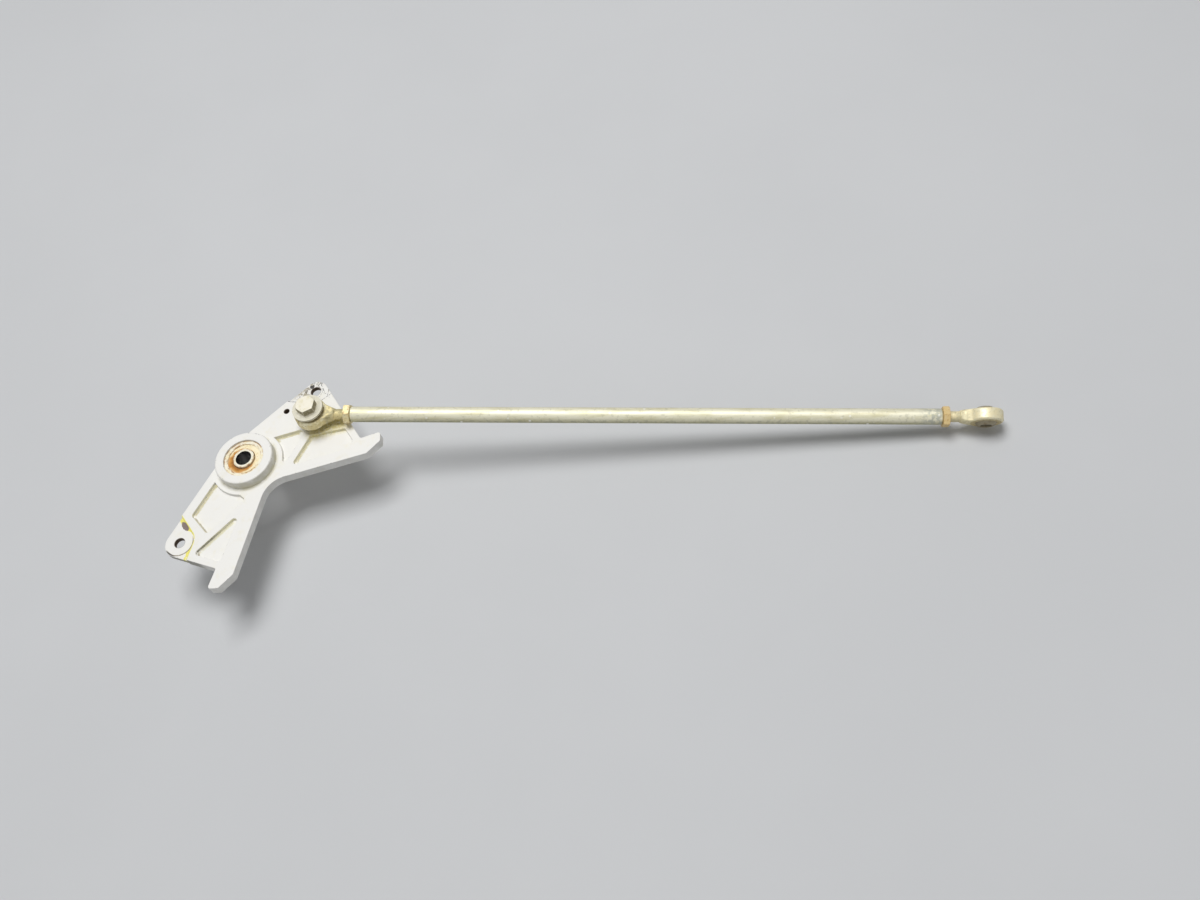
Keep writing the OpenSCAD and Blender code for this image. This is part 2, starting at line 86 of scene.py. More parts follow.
class Finish:
    """A finish that is built up in layers, on a piece's Object coordinates."""

    def __init__(self, name, colour, rough, metal=0.0):
        self.material = bpy.data.materials.new(name)
        self.material.use_nodes = True
        self.shader = self.material.node_tree.nodes["Principled BSDF"]
        coordinates = self.node("TexCoord")
        self.place = coordinates.outputs["Object"]
        self.facing = coordinates.outputs["Normal"]
        self.colour = colour
        self.rough = rough
        self.metal = metal

    def node(self, kind, inputs=None, **settings):
        made = self.material.node_tree.nodes.new("ShaderNode" + kind)
        for name, value in settings.items():
            setattr(made, name, value)
        for socket, value in (inputs or {}).items():
            self.feed(made.inputs[socket], value)
        return made

    def feed(self, socket, value):
        if isinstance(value, bpy.types.NodeSocket):
            self.material.node_tree.links.new(value, socket)
        elif socket.type == "RGBA":
            socket.default_value = (*value, 1.0)
        else:
            socket.default_value = value

    def calc(self, operation, a, b=0.0):
        return self.node("Math", {0: a, 1: b}, operation=operation).outputs[0]

    def both(self, *shares):
        """Product of shares: full only where all of them are."""
        product = shares[0]
        for share in shares[1:]:
            product = self.calc("MULTIPLY", product, share)
        return product

    def mix(self, share, a, b):
        """Number between a and b. A Mix node takes two numbers in its sockets 2 and 3."""
        return self.node("Mix", {0: share, 2: a, 3: b}).outputs[0]

    def band(self, value, low, high):
        """0 on the low side, 1 on the high side, eased between the two."""
        inputs = {"Value": value, "From Min": low, "From Max": high}
        return self.node("MapRange", inputs, interpolation_type="SMOOTHSTEP").outputs[0]

    def near(self, value, middle, half_width):
        """1 on a line where the value has its middle, fading to 0 at the half width."""
        off = self.calc("ABSOLUTE", self.calc("SUBTRACT", value, middle))
        return self.band(off, half_width, half_width * 0.35)

    def clouds(self, grain, detail=4.0, stretch=(1.0, 1.0, 1.0)):
        """Cloudy value about 0.5, with clouds of about the grain's size."""
        place = self.node("Mapping", {"Vector": self.place, "Scale": stretch}).outputs[0]
        inputs = {"Vector": place, "Scale": 1 / grain, "Detail": detail, "Roughness": 0.6}
        return self.node("TexNoise", inputs).outputs["Fac"]

    def specks(self, grain):
        """Distance from the nearest of many scattered points, in grains."""
        return self.node("TexVoronoi", {"Vector": self.place, "Scale": 1 / grain}).outputs["Distance"]

    def cracks(self, grain):
        """Distance from a net of ragged lines round cells of the grain's size, in grains."""
        ripple = self.node("TexNoise", {"Vector": self.place, "Scale": 2 / grain}).outputs["Color"]
        middle = (0.5, 0.5, 0.5)
        shift = self.node("VectorMath", {0: ripple, 1: middle}, operation="SUBTRACT").outputs[0]
        moved = {0: shift, 1: [grain] * 3, 2: self.place}
        ragged = self.node("VectorMath", moved, operation="MULTIPLY_ADD").outputs[0]
        inputs = {"Vector": ragged, "Scale": 1 / grain}
        return self.node("TexVoronoi", inputs, feature="DISTANCE_TO_EDGE").outputs["Distance"]

    def from_axis(self, point, way):
        """Distance from a line, and the distance along it."""
        offset = self.node("VectorMath", {0: self.place, 1: point}, operation="SUBTRACT").outputs[0]
        along = self.node("VectorMath", {0: offset, 1: way}, operation="DOT_PRODUCT").outputs["Value"]
        turned = self.node("VectorMath", {0: offset, 1: way}, operation="CROSS_PRODUCT").outputs[0]
        away = self.node("VectorMath", {0: turned}, operation="LENGTH").outputs["Value"]
        return away, along

    def towards(self, way):
        """How far the surface faces a direction, from -1 to 1."""
        inputs = {0: self.facing, 1: way}
        return self.node("VectorMath", inputs, operation="DOT_PRODUCT").outputs["Value"]

    def marked(self, name):
        """1 on the faces that a piece's mesh marks under this name."""
        return self.node("Attribute", attribute_name=name).outputs["Fac"]

    def layer(self, share, colour, rough=None, metal=None):
        """Lays a finish over the ones below. A Mix node takes two colours in its sockets 6 and 7."""
        inputs = {0: share, 6: self.colour, 7: colour}
        self.colour = self.node("Mix", inputs, data_type="RGBA").outputs[2]
        if rough is not None:
            self.rough = self.mix(share, self.rough, rough)
        if metal is not None:
            self.metal = self.mix(share, self.metal, metal)

    def done(self, relief, height):
        """The finished material, with a fine relief of this height."""
        self.feed(self.shader.inputs["Base Color"], self.colour)
        self.feed(self.shader.inputs["Roughness"], self.rough)
        self.feed(self.shader.inputs["Metallic"], self.metal)
        bump = self.node("Bump", {"Height": relief, "Distance": height})
        self.feed(self.shader.inputs["Normal"], bump.outputs[0])
        return self.material


def piece(name, bm, material, body):
    """Turns a finished bmesh into a piece that rides on a body."""
    mesh = bpy.data.meshes.new(name)
    bm.to_mesh(mesh)
    bm.free()
    mesh.materials.append(material)
    made = bpy.data.objects.new(name, mesh)
    bpy.context.scene.collection.objects.link(made)
    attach(made, body)
    return made


def slant(edge, corner, other):
    """Angle between two edges at the corner where they meet."""
    way = edge.other_vert(corner).co - corner.co
    return way.angle(other.other_vert(corner).co - corner.co)


def eased(node, edge_r, material, marks=None):
    """The solid of a CAD node with its sharp edges rounded, as a piece that stands for the node.

    An inner corner that runs into another edge at a tight angle stays sharp, because it would fold.
    """
    weld = 0.002 * mm
    crease = math.radians(32)
    flat = math.radians(0.6)
    tight = math.radians(20)
    solid = frame["nodes"][node]
    bm = bmesh.new()
    bm.from_mesh(solid.data)
    bmesh.ops.remove_doubles(bm, verts=bm.verts, dist=weld)
    bmesh.ops.dissolve_limit(bm, angle_limit=flat, verts=bm.verts, edges=bm.edges)
    if marks:
        marks(bm)
    worn = bm.faces.layers.float.new("edge")
    sharp = [e for e in bm.edges if e.is_manifold and e.calc_face_angle() > crease]
    all_sharp = set(sharp)
    pinched = {e for e in sharp if not e.is_convex
               and any(slant(e, v, other) < tight for v in e.verts for other in v.link_edges
                       if other != e and other in all_sharp)}
    sharp = [e for e in sharp if e not in pinched]
    rounded = bmesh.ops.bevel(bm, geom=sharp, offset=edge_r, offset_type="OFFSET", affect="EDGES",
                              segments=3, profile=0.5, material=-1, clamp_overlap=False)
    for face in rounded["faces"]:
        face[worn] = 1.0
    for face in bm.faces:
        face.smooth = True
    for edge in bm.edges:
        edge.smooth = not edge.is_manifold or edge.calc_face_angle() < crease
    made = piece(node + "_eased", bm, material, solid["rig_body"])
    made.modifiers.new("flat_faces", "WEIGHTED_NORMAL").keep_sharp = True
    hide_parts(node)


upper_hole = Vector(mounts["upper_cable_hole"]["pos_m"])
lower_hole = Vector(mounts["lower_cable_hole"]["pos_m"])
pin_hole = Vector(mounts["rigging_pin_hole"]["pos_m"])
hole_r = mounts["upper_cable_hole"]["dims"]["r_mm"] * mm
pin_r = mounts["rigging_pin_hole"]["dims"]["r_mm"] * mm
tip_half = mounts["upper_cable_hole"]["dims"]["length_mm"] / 2 * mm
hub_r = 18.35 * mm
plate_top = 3.175 * mm
floor_top = 0.975 * mm


def close_hub_slots(bm):
    """Closes two thin slots in the solid's hub wall, which the real hub lacks."""
    near = 0.02 * mm
    low = 2 * plate_top
    high = floor_top + 2 * plate_top
    lining = [f for f in bm.faces
              if all(low - near < v.co.z < high + near for v in f.verts)
              and all(v.co.xy.length < hub_r + near for v in f.verts)]
    bmesh.ops.delete(bm, geom=lining, context="FACES")
    rim = [e for e in bm.edges if e.is_boundary]
    patches = bmesh.ops.holes_fill(bm, edges=rim, sides=0)["faces"]
    bmesh.ops.triangulate(bm, faces=patches, ngon_method="BEAUTY")
    bmesh.ops.recalc_face_normals(bm, faces=bm.faces)


def mark_walls(bm):
    """Marks the walls of the pockets, and the steps down to the thinned tips."""
    close_hub_slots(bm)
    upright = 0.3
    hub_rim = 1 * mm
    slack = 0.1 * mm
    pocket = bm.faces.layers.float.new("pocket")
    step = bm.faces.layers.float.new("step")
    for face in bm.faces:
        heights = [v.co.z for v in face.verts]
        one_sided = min(heights) * max(heights) > 0
        in_hub = face.calc_center_median().xy.length < hub_r + hub_rim
        if abs(face.normal.z) > upright or not one_sided or in_hub:
            continue
        if min(abs(h) for h in heights) > tip_half - slack:
            face[step] = 1.0
        else:
            face[pocket] = 1.0


paint = Finish("chipped_white_paint", (0.88, 0.87, 0.83), 0.42)
dirt_clouds = paint.clouds(7 * mm)
fine_clouds = paint.clouds(1.6 * mm)
chips = paint.clouds(2.2 * mm, 6)
flecks = paint.clouds(1.2 * mm, 3)
hub_away, height = paint.from_axis((0, 0, 0), up)
upper_away = paint.from_axis(upper_hole, up)[0]
lower_away = paint.from_axis(lower_hole, up)[0]
pin_away = paint.from_axis(pin_hole, up)[0]
on_top = paint.band(height, -1 * mm, 0.5 * mm)
on_side = paint.band(paint.calc("ABSOLUTE", paint.towards(up)), 0.5, 0.2)
yellowed = (0.84, 0.80, 0.66)
side_shade_grey = (0.66, 0.65, 0.61)
hub_dust_and_shade = (0.58, 0.56, 0.46)
olive_dirt = (0.84, 0.79, 0.48)
pale_dirt = (0.66, 0.62, 0.42)
streak_dirt = (0.56, 0.51, 0.29)
faint_dirt = (0.70, 0.67, 0.45)
wall_foot_dark = (0.34, 0.30, 0.19)
primer = (0.86, 0.78, 0.10)
bare_metal = (0.56, 0.55, 0.52)
soot = (0.05, 0.045, 0.04)
paint.layer(paint.both(paint.band(dirt_clouds, 0.5, 0.8), 0.6), yellowed, 0.48)
# painted shade: the side walls are greyer than the top, broken up by clouds
paint.layer(paint.both(on_side, paint.band(dirt_clouds, 0.25, 0.75), 0.6), side_shade_grey, 0.5)

# greasy dust and painted shade on the side of the hub's wall towards +X and -Y, and greasy dust round its
# foot
hub_wall_shade_and_dust = paint.both(paint.near(hub_away, hub_r, 0.5 * mm), paint.band(height, 2.5 * mm, 4 * mm),
                      paint.band(paint.from_axis((0, 0, 0), Vector((0.87, -0.5, 0)))[1], -6 * mm, 8 * mm))
paint.layer(paint.both(hub_wall_shade_and_dust, paint.band(dirt_clouds, 0.2, 0.6), 0.75), hub_dust_and_shade, 0.6)
hub_foot = paint.both(paint.band(hub_away, hub_r + 2.6 * mm, hub_r + 0.3 * mm),
                      paint.band(hub_away, hub_r - 1 * mm, hub_r), paint.band(height, 7 * mm, 3 * mm),
                      paint.band(dirt_clouds, 0.35, 0.6), on_top)
paint.layer(paint.both(hub_foot, 0.6), pale_dirt, 0.7)

# dust on the walls of the pockets, broad streaks of dust along the foot of some of them, and thin dark
# lines along the foot of others
inboard = paint.band(hub_away, 65 * mm, 59 * mm)
off_pad = paint.band(hub_away, 22.8 * mm, 25 * mm)
walls = paint.both(paint.marked("pocket"), paint.band(fine_clouds, 0.15, 0.6), off_pad, inboard)
paint.layer(paint.both(walls, 0.6), olive_dirt, 0.7)
sunk = paint.both(paint.band(height, plate_top - 0.2 * mm, plate_top - 0.5 * mm), on_top)
broad = 2.0 * mm
thin = 0.9 * mm
ripple = 1.2 * mm
on_floor = paint.calc("SUBTRACT", 1.0, paint.marked("pocket"))
for from_mm, to_mm, spread, dirt in (((-27.7, -34.4), (-18.5, -12.6), broad, streak_dirt),
                                     ((-18.5, -12.6), (-16.4, -15.3), broad, streak_dirt),
                                     ((-16.9, -47.0), (-27.4, -36.4), thin, wall_foot_dark),
                                     ((-19.0, -59.5), (-1.4, -39.2), broad, faint_dirt),
                                     ((-18.2, -62.4), (-19.0, -59.5), thin, wall_foot_dark),
                                     ((16.8, 14.8), (13.6, 17.8), broad, streak_dirt),
                                     ((13.6, 17.8), (29.6, 22.3), broad, streak_dirt),
                                     ((30.3, 0.3), (37.0, 17.1), broad, streak_dirt)):
    line_from = Vector((*from_mm, 0)) * mm
    line_to = Vector((*to_mm, 0)) * mm
    line_way = (line_to - line_from).normalized()
    line_along = paint.from_axis(line_from, line_way)[1]
    line_side = paint.from_axis(line_from, line_way.cross(up))[1]
    wander = paint.calc("ADD", line_side, paint.both(paint.calc("SUBTRACT", fine_clouds, 0.5), ripple))
    beyond = (line_to - line_from).length + 0.5 * mm
    dusted = paint.both(paint.near(wander, 0.3 * mm, spread), paint.band(line_along, -1 * mm, 1 * mm),
                        paint.band(line_along, beyond, beyond - 2 * mm),
                        paint.band(chips, 0.2, 0.5), sunk, on_floor)
    paint.layer(paint.both(dusted, 0.85), dirt, 0.7)

# dirt that the rod end has worked into the pad and the pocket beside it
smear_from = Vector((37 * mm, 17.5 * mm, 0))
smear_way = Vector((0.972, 0.234, 0))
worked_grease = (0.74, 0.65, 0.25)
grease_specks = (0.34, 0.28, 0.10)
smear_along = paint.from_axis(smear_from, smear_way)[1]
smear_side = paint.from_axis(smear_from, smear_way.cross(up))[1]
smeared = paint.both(paint.band(smear_along, -5 * mm, 3 * mm), paint.band(smear_along, 29 * mm, 20 * mm),
                     paint.band(smear_side, 4 * mm, -2 * mm), paint.band(smear_side, -13 * mm, -8 * mm),
                     on_top)
broken_smear = paint.both(smeared, paint.band(fine_clouds, 0.22, 0.55))
paint.layer(paint.both(broken_smear, 0.9), worked_grease, 0.65)
smear_specks = paint.both(smeared, paint.band(flecks, 0.54, 0.66))
paint.layer(paint.both(smear_specks, 0.55), grease_specks, 0.7)

# round the cable holes the cable forks have broken the paint down to the primer and the metal
step_r = 9.4 * mm
fork_r = 8.45 * mm
lower_opens = -164.3
upper_opens = 106.8
fork_dirt = (0.20, 0.16, 0.09)
patch_brown = (0.21, 0.16, 0.145)
side_dark_tone = (0.19, 0.18, 0.13)
blotch_brown = (0.34, 0.29, 0.18)
tip_dirt = (0.20, 0.17, 0.12)
hole_shade = (0.10, 0.065, 0.04)


def heading(degrees):
    """Level direction at an angle from +X."""
    return Vector((math.cos(math.radians(degrees)), math.sin(math.radians(degrees)), 0))


def from_step(hole, away, opens):
    """Distance outside the edge of a thinned tip, which opens like a fan from round its hole.

    Also the distance along that edge.
    """
    half = math.radians(65.5)
    ahead = paint.from_axis(hole, heading(opens))[1]
    sideways = paint.calc("ABSOLUTE", paint.from_axis(hole, heading(opens + 90))[1])
    along = paint.calc("ADD", paint.both(ahead, math.cos(half)), paint.both(sideways, math.sin(half)))
    beside = paint.calc("SUBTRACT", paint.both(sideways, math.cos(half)), paint.both(ahead, math.sin(half)))
    straight = paint.band(along, -0.1 * mm, 0.1 * mm)
    return paint.calc("SUBTRACT", paint.mix(straight, away, beside), step_r), along


lower_step, lower_run = from_step(lower_hole, lower_away, lower_opens)
by_lower = paint.band(lower_away, 22 * mm, 19 * mm)
worn_in = paint.calc("ADD", lower_step, paint.both(paint.band(lower_run, 1 * mm, 6 * mm), 2.0 * mm))
ragged = paint.calc("ADD", worn_in, paint.both(paint.calc("SUBTRACT", flecks, 0.5), 1.2 * mm))
primed = paint.both(paint.band(ragged, -0.6 * mm, -0.3 * mm), paint.band(lower_step, 1.0 * mm, 0.3 * mm),
                    by_lower, on_top, paint.band(chips, 0.36, 0.42))
paint.layer(paint.both(primed, 0.9), primer, 0.55)
paint.layer(paint.both(paint.marked("step"), by_lower, 0.9), primer, 0.55)
low_right = paint.from_axis(lower_hole, heading(-58))[1]
scored = paint.both(paint.near(lower_away, fork_r, 0.5 * mm), paint.band(low_right, -1 * mm, 4 * mm),
                    on_top, paint.band(flecks, 0.28, 0.42))
paint.layer(paint.both(scored, 0.9), fork_dirt, 0.6)
low_left = paint.from_axis(lower_hole, heading(-122))[1]
gouged = paint.both(paint.near(lower_away, fork_r, 0.75 * mm), paint.band(low_left, 7.7 * mm, 8.4 * mm),
                    on_top)
paint.layer(gouged, soot, 0.6)
patch_at = Vector((-31.4 * mm, -42.1 * mm, 0))
patch_long = paint.calc("DIVIDE", paint.from_axis(patch_at, heading(-48))[1], 3.9 * mm)
patch_wide = paint.calc("DIVIDE", paint.from_axis(patch_at, heading(42))[1], 1.7 * mm)
patch_away = paint.calc("ADD", paint.both(patch_long, patch_long), paint.both(patch_wide, patch_wide))
patch_edge = paint.calc("ADD", patch_away, paint.calc("SUBTRACT", flecks, 0.5))
patch = paint.both(paint.band(patch_edge, 1.1, 0.8), on_top)
paint.layer(patch, patch_brown, 0.55, 0.1)
# darker on the side walls that face -Y, near the lower tip
dark_side_band = paint.both(on_side, paint.band(paint.towards((0, -1, 0)), 0.3, 0.7),
                       paint.band(lower_away, 27 * mm, 20 * mm), paint.band(fine_clouds, 0.2, 0.5))
paint.layer(paint.both(dark_side_band, 0.75), side_dark_tone, 0.6)

upper_step = from_step(upper_hole, upper_away, upper_opens)[0]
by_upper = paint.band(upper_away, 14 * mm, 6 * mm)
outboard = paint.from_axis(upper_hole, heading(150))[1]
outer_side = paint.band(outboard, -3 * mm, 3 * mm)
upper_chips = paint.both(by_upper, outer_side, paint.band(chips, 0.53, 0.58))
paint.layer(upper_chips, bare_metal, 0.45, 0.4)
blotched = paint.both(paint.band(upper_away, 17 * mm, 10 * mm), outer_side,
                      paint.band(paint.clouds(3 * mm, 5), 0.46, 0.56))
paint.layer(paint.both(blotched, 0.8), blotch_brown, 0.6, 0.1)
crazed = paint.both(by_upper, paint.band(paint.cracks(5 * mm), 0.05, 0.02),
                    paint.band(paint.clouds(4.5 * mm), 0.5, 0.58))
paint.layer(crazed, soot, 0.6, 0.0)
scuffs = paint.both(by_upper, outer_side, paint.band(flecks, 0.6, 0.66))
paint.layer(scuffs, soot, 0.6, 0.0)
tip_ahead = paint.from_axis(upper_hole, heading(60))[1]
fork_line = paint.both(paint.near(upper_away, fork_r, 0.45 * mm), paint.band(tip_ahead, 2 * mm, 5 * mm),
                       paint.band(flecks, 0.4, 0.5), on_top)
paint.layer(paint.both(fork_line, 0.85), tip_dirt, 0.6)
burr_at = Vector((31.4 * mm, 55.4 * mm, 0))
burr_away = paint.from_axis(burr_at, up)[0]
burr_edge = paint.calc("ADD", burr_away, paint.both(flecks, 2.4 * mm))
paint.layer(paint.band(burr_edge, 2.9 * mm, 2.4 * mm), soot, 0.6, 0.0)
black_step = paint.both(paint.near(upper_step, 0.0, 0.8 * mm), paint.band(upper_away, 26 * mm, 22 * mm),
                        paint.band(flecks, 0.4, 0.5), on_top)
paint.layer(black_step, soot, 0.6, 0.0)

edge_chips = paint.both(paint.marked("edge"), paint.band(chips, 0.6, 0.63))
paint.layer(edge_chips, bare_metal, 0.45, 0.5)
# painted shade: the walls of the holes are painted near black
for away, radius in ((upper_away, hole_r), (lower_away, hole_r), (pin_away, pin_r)):
    paint.layer(paint.band(away, radius + 0.5 * mm, radius), hole_shade, 0.7, 0.0)
white_paint = paint.done(paint.clouds(0.9 * mm, 2), 0.02 * mm)
eased("crank_plate", 0.35 * mm, white_paint, mark_walls)


# Pivot bearing
# A sealed ball bearing is pressed into the hub: two hardened rings, a row of balls in a
# brass ribbon cage, and two thin sheet shields that have rusted where the grease dried out.

ground = Finish("ground_bearing_steel", (0.83, 0.79, 0.65), 0.45, 0.25)
ring_away = ground.from_axis((0, 0, 0), up)[0]
dried_grease = (0.76, 0.66, 0.38)
rust = (0.42, 0.20, 0.05)
bore_shade_dark = (0.13, 0.125, 0.12)
ground.layer(ground.both(ground.band(ground.clouds(3 * mm), 0.42, 0.7), 0.7), dried_grease, 0.5)
seam_clouds = ground.clouds(1.2 * mm)
seam_patches = ground.clouds(4 * mm)
ragged_seam = ground.calc("ADD", ring_away, ground.both(ground.calc("SUBTRACT", seam_clouds, 0.5), 2 * mm))
for seam in (12.6 * mm, 10.6 * mm, 6.5 * mm):
    line = ground.both(ground.near(ragged_seam, seam, 0.8 * mm), ground.band(seam_patches, 0.38, 0.62))
    ground.layer(ground.both(line, 0.85), rust, 0.8, 0.1)
bore_r = mounts["pivot_bore"]["dims"]["r_mm"] * mm
# painted shade: the wall of the bore is dark steel
ground.layer(ground.band(ring_away, bore_r + 0.35 * mm, bore_r + 0.1 * mm), bore_shade_dark, 0.3, 0.9)
bearing_steel = ground.done(ground.clouds(0.7 * mm), 0.01 * mm)
eased("bearing_outer_ring", 0.15 * mm, bearing_steel)
eased("bearing_inner_ring", 0.3 * mm, bearing_steel)

brass = Finish("stamped_cage_brass", (0.62, 0.44, 0.16), 0.35, 1.0)
dull_brass = (0.35, 0.24, 0.10)
brass.layer(brass.band(brass.clouds(2 * mm), 0.4, 0.7), dull_brass, 0.5)
frame["nodes"]["bearing_cage"].data.materials[0] = brass.done(brass.clouds(1 * mm), 0.01 * mm)
frame["nodes"]["bearing_balls"].data.materials[0] = bearing_steel

shield = Finish("rust_stained_shield", (0.84, 0.76, 0.54), 0.5, 0.3)
shield_away = shield.from_axis((0, 0, 0), up)[0]
rusty_side = shield.from_axis((0, 0, 0), Vector((-0.8, -0.6, 0)))[1]
shield_clouds = shield.clouds(4 * mm)
shield_stain = (0.78, 0.64, 0.34)
orange_rust = (0.62, 0.30, 0.06)
dark_rust = (0.36, 0.15, 0.03)
pit_rust = (0.42, 0.22, 0.06)
shield.layer(shield.band(shield_clouds, 0.42, 0.75), shield_stain, 0.55)
rust_width = shield.calc("ADD", shield_away, shield.both(shield_clouds, 4 * mm))
rust_edge = shield.calc("SUBTRACT", rust_width, shield.both(rusty_side, 0.22))
shield.layer(shield.band(rust_edge, 11.2 * mm, 9.2 * mm), orange_rust, 0.75, 0.1)
shield.layer(shield.band(rust_edge, 9.6 * mm, 7.8 * mm), dark_rust, 0.85, 0.05)
pits = shield.both(shield.band(shield.clouds(1.1 * mm), 0.58, 0.68), 0.6)
shield.layer(pits, pit_rust, 0.85, 0.05)
rusty_shield = shield.done(shield.clouds(0.8 * mm), 0.03 * mm)
for side in ("top", "bottom"):
    eased("bearing_shield_" + side, 0.1 * mm, rusty_shield)


# Near rod end
# A swivel rod end: a forged steel eye on a threaded shank, plated and now caked with old
# grease, with a hardened race staked into the eye and a ball that swivels in the race.

joints = {j["name"]: j for j in frame["joints"]}
near_eye = Vector(joints["rod_tilt"]["pos_m"])
far_eye = Vector(joints["far_turn"]["pos_m"])
far_axis = Vector(joints["far_turn"]["axis"])
rod_way = (far_eye - near_eye).normalized()
near_axis = rod_way.cross(Vector((0, 1, 0))).normalized()
bright_plating = (0.85, 0.79, 0.56)
old_grease = (0.44, 0.36, 0.16)
packed_dirt = (0.42, 0.34, 0.16)
neck_grime = (0.36, 0.31, 0.14)
race_grease = (0.40, 0.32, 0.16)
ball_stain = (0.24, 0.19, 0.11)


def grimy_plating(name, colour, grime, eye, axis, way):
    """Dull yellow plating with dirt packed round the race and down the neck."""
    plating = Finish(name, colour, 0.48, 0.35)
    away = plating.from_axis(eye, axis)[0]
    along = plating.from_axis(eye, way)[1]
    cloud = plating.clouds(4 * mm)
    fine = plating.clouds(1.3 * mm)
    plating.layer(plating.band(cloud, 0.42, 0.62), bright_plating, 0.42, 0.4)
    plating.layer(plating.both(plating.band(fine, 0.50, 0.70), grime), old_grease, 0.7, 0.2)
    packed = plating.both(plating.band(away, 9.4 * mm, 8.2 * mm), plating.band(fine, 0.3, 0.6))
    plating.layer(packed, packed_dirt, 0.8, 0.0)
    neck_dirt = plating.both(plating.band(along, 8 * mm, 11 * mm), plating.band(cloud, 0.42, 0.58))
    plating.layer(plating.both(neck_dirt, grime), neck_grime, 0.7, 0.1)
    return plating.done(fine, 0.05 * mm)


race = Finish("greasy_race_steel", (0.60, 0.51, 0.29), 0.7, 0.1)
race.layer(race.band(race.clouds(1.5 * mm), 0.45, 0.65), race_grease, 0.75, 0.1)
race_steel = race.done(race.clouds(0.8 * mm), 0.02 * mm)
polished = Finish("dulled_swivel_steel", (0.33, 0.29, 0.20), 0.5, 0.5)
polished.layer(polished.band(polished.clouds(2.5 * mm), 0.5, 0.72), ball_stain, 0.55, 0.4)
ball_steel = polished.done(polished.clouds(1 * mm), 0.01 * mm)
near_yellow = (0.72, 0.62, 0.33)
near_plating = grimy_plating("near_grimy_plating", near_yellow, 0.75, near_eye, near_axis, rod_way)
eased("near_rod_end", 0.3 * mm, near_plating)
eased("near_race", 0.1 * mm, race_steel)
eased("near_ball", 0.2 * mm, ball_steel)

thread_at = 15.1 * mm
thread_l = 5.8 * mm
thread_r = 3.15 * mm
thread_pitch = 0.907 * mm
thread_depth = 0.17 * mm


def thread(name, eye, way, material):
    """The vee thread that winds along the bare part of a rod end's shank."""
    round_steps = 32
    foot_width = 0.96 * thread_pitch
    turns = thread_l / thread_pitch
    steps = round(turns * round_steps)
    start = eye + way * thread_at
    side = way.orthogonal().normalized()
    foot = start + side * (thread_r - thread_depth)
    crest = start + side * (thread_r + thread_depth) + way * thread_pitch / 2
    bm = bmesh.new()
    corners = [bm.verts.new(p) for p in (foot, crest, foot + way * foot_width)]
    rim = [bm.edges.new((corners[i], corners[i - 1])) for i in range(3)]
    bmesh.ops.spin(bm, geom=corners + rim, cent=start, axis=way, dvec=way * thread_l / steps,
                   angle=turns * 2 * math.pi, steps=steps)
    bmesh.ops.holes_fill(bm, edges=bm.edges, sides=3)
    bmesh.ops.recalc_face_normals(bm, faces=bm.faces)
    piece(name, bm, material, "push_rod")


thread("near_thread", near_eye, rod_way, near_plating)


# Jam nuts
# Thin hexagon nuts lock the rod ends in the tube. They are plated steel, gold from their
# passivation and browner where the plating has worn off.

gold = Finish("gold_passivated_nut", (0.82, 0.70, 0.38), 0.42, 0.45)
pale_gold = (0.84, 0.77, 0.52)
worn_brown = (0.44, 0.28, 0.10)
edge_brown = (0.50, 0.36, 0.17)
amber = (0.72, 0.48, 0.19)
gold.layer(gold.band(gold.clouds(3 * mm), 0.45, 0.7), pale_gold, 0.4)
gold.layer(gold.both(gold.band(gold.clouds(1.2 * mm), 0.52, 0.66), 0.8), worn_brown, 0.65, 0.3)
worn_corners = gold.both(gold.marked("edge"), gold.band(gold.clouds(2 * mm), 0.3, 0.5))
gold.layer(gold.both(worn_corners, 0.65), edge_brown, 0.55)
amber_end = gold.band(gold.from_axis(near_eye, rod_way)[1], 200 * mm, 300 * mm)
gold.layer(gold.both(amber_end, 0.6), amber, 0.45)
nut_gold = gold.done(gold.clouds(0.8 * mm), 0.02 * mm)
for end in ("near", "far"):
    eased(end + "_jam_nut", 0.15 * mm, nut_gold)


# Push-rod tube
# A drawn steel tube, plated and dulled, tapped at both ends for the rod ends. It is pale and
# mottled, with painted shade that makes it more olive below, and scuffed bare at its far end.

tube = Finish("dulled_tube_plating", (0.80, 0.77, 0.60), 0.5, 0.4)
tube_along = tube.from_axis(near_eye, rod_way)[1]
tube_end = (far_eye - near_eye).length - 25 * mm
lit_way = Vector((0, -0.25, 0.97))
grain_along = (0.15, 1, 1)
dull_streak = (0.66, 0.62, 0.41)
underside_shade_olive = (0.40, 0.38, 0.21)
shaded_grey_blots = (0.30, 0.31, 0.23)
brown_blots = (0.46, 0.44, 0.33)
rubbed_bright = (0.9, 0.89, 0.82)
bared_steel = (0.43, 0.44, 0.37)
streaks = tube.clouds(3.5 * mm, 4, grain_along)
blots = tube.clouds(2.2 * mm)
tube.layer(tube.band(streaks, 0.4, 0.7), dull_streak, 0.5)
# painted shade: the side facing away from the top is more olive, with grey blots
below = tube.band(tube.towards(lit_way), 0.75, -0.1)
tube.layer(tube.both(below, 0.85), underside_shade_olive, 0.55)
tube.layer(tube.both(below, tube.band(blots, 0.45, 0.62), 0.7), shaded_grey_blots, 0.6)
tube.layer(tube.both(tube.band(blots, 0.55, 0.66), 0.4), brown_blots, 0.55)
rubbed = tube.both(tube.band(tube.specks(5 * mm), 0.22, 0.1), tube.band(streaks, 0.5, 0.62))
tube.layer(rubbed, rubbed_bright, 0.4)
by_end = tube.band(tube_along, tube_end - 16 * mm, tube_end - 6 * mm)
scuffed = tube.both(by_end, tube.band(tube.clouds(2.4 * mm), 0.40, 0.56))
tube.layer(tube.both(scuffed, 0.8), bared_steel, 0.55, 0.5)
eased("push_rod_tube", 0.2 * mm, tube.done(tube.clouds(1.2 * mm), 0.02 * mm))


